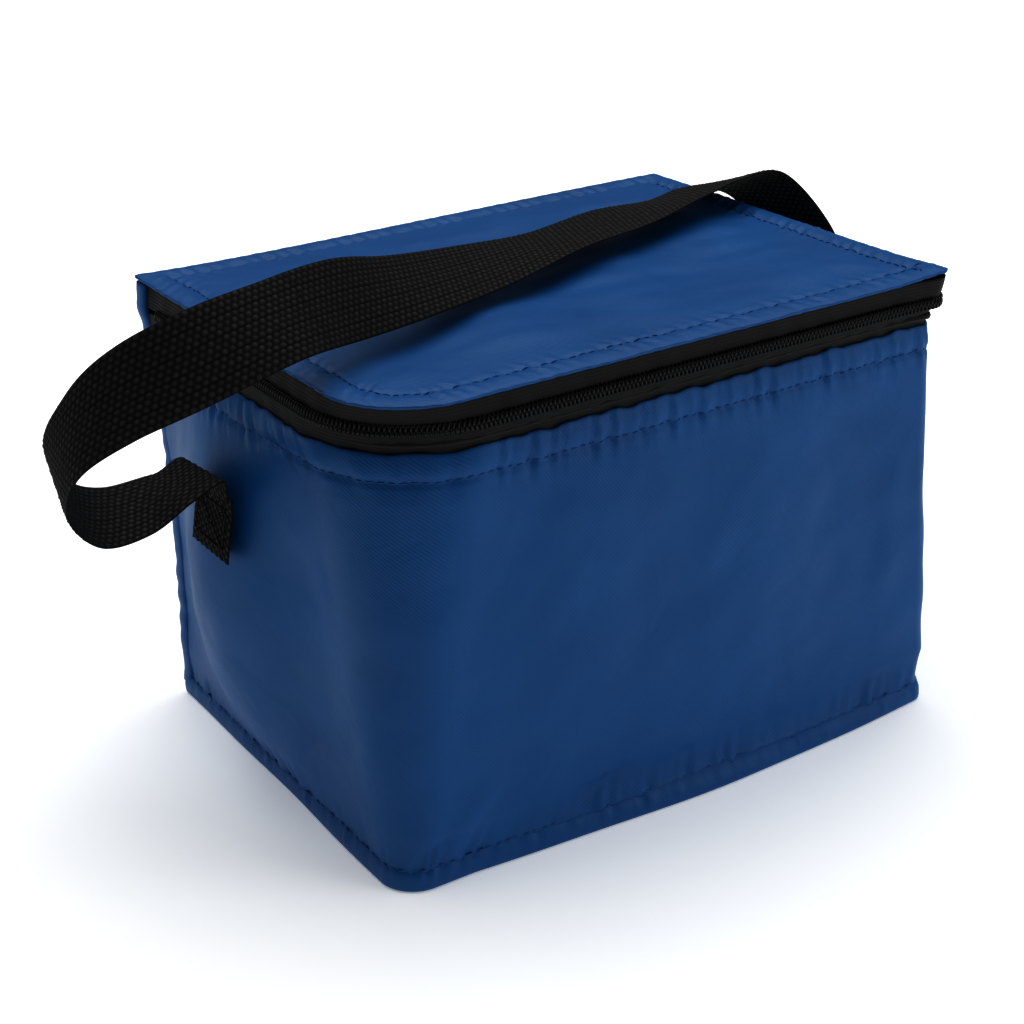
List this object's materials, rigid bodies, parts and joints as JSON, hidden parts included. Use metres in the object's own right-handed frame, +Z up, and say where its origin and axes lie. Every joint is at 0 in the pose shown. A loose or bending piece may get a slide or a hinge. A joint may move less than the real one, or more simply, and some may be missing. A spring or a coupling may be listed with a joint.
{
  "type": "insulated cooler bag",
  "caption": "Soft insulated cooler bag with a lid on a fabric hinge, a coil zip round its sides and front, and a webbing carry strap.",
  "frame": {"origin": "middle of the flat bottom", "axes": "+Z up, the front faces -Y, +X to the right of someone looking at the front"},
  "size_m": [0.3061, 0.1568, 0.1804],
  "materials": {
    "nylon_blue": "satin",
    "webbing_black": "matte",
    "zip_tape_black": "matte",
    "zip_coil_black": "satin",
    "slider_black": "satin",
    "binding_black": "matte",
    "foam_white": "matte",
    "liner_silver": "satin"
  },
  "bodies": {
    "bag": {"bottom_panel": "nylon_blue", "outer_wall_wrap": "nylon_blue", "back_panel": "nylon_blue", "bottom_seam": "nylon_blue", "back_seam_left": "nylon_blue", "back_seam_right": "nylon_blue", "wall_foam": "foam_white", "back_foam": "foam_white", "bottom_foam": "foam_white", "liner_tub": "liner_silver", "body_top_binding": "binding_black", "body_zip_tape": "zip_tape_black", "body_zip_coil": "zip_coil_black", "zip_end_tab_left": "zip_tape_black", "zip_end_tab_right": "zip_tape_black", "strap_end_left": "webbing_black", "strap_end_right": "webbing_black"},
    "lid": {"lid_panel": "nylon_blue", "lid_foam": "foam_white", "lid_liner": "liner_silver", "lid_edge_binding": "binding_black", "lid_zip_tape": "zip_tape_black", "lid_zip_coil": "zip_coil_black"},
    "strap": {"carry_strap": "webbing_black"},
    "slider": {"zip_slider": "slider_black"},
    "pull_tab": {"zip_pull_tab": "slider_black"}
  },
  "joints": [
    {"name": "lid_hinge", "type": "hinge", "parent": "bag", "child": "lid", "pos_m": [0, 0.076, 0.148], "axis": [-1, 0, 0], "range_deg": [0, 110]},
    {"name": "strap_lift", "type": "slide", "parent": "lid", "child": "strap", "axis": [0, 0, 1], "range_m": [0, 0.06]},
    {"name": "zip_run", "type": "slide", "parent": "bag", "child": "slider", "axis": [0, -1, 0], "range_m": [0, 0.095]},
    {"name": "tab_swing", "type": "hinge", "parent": "slider", "child": "pull_tab", "pos_m": [0.1053, 0.058, 0.1422], "axis": [0, 0, 1], "range_deg": [0, 170]}
  ]
}
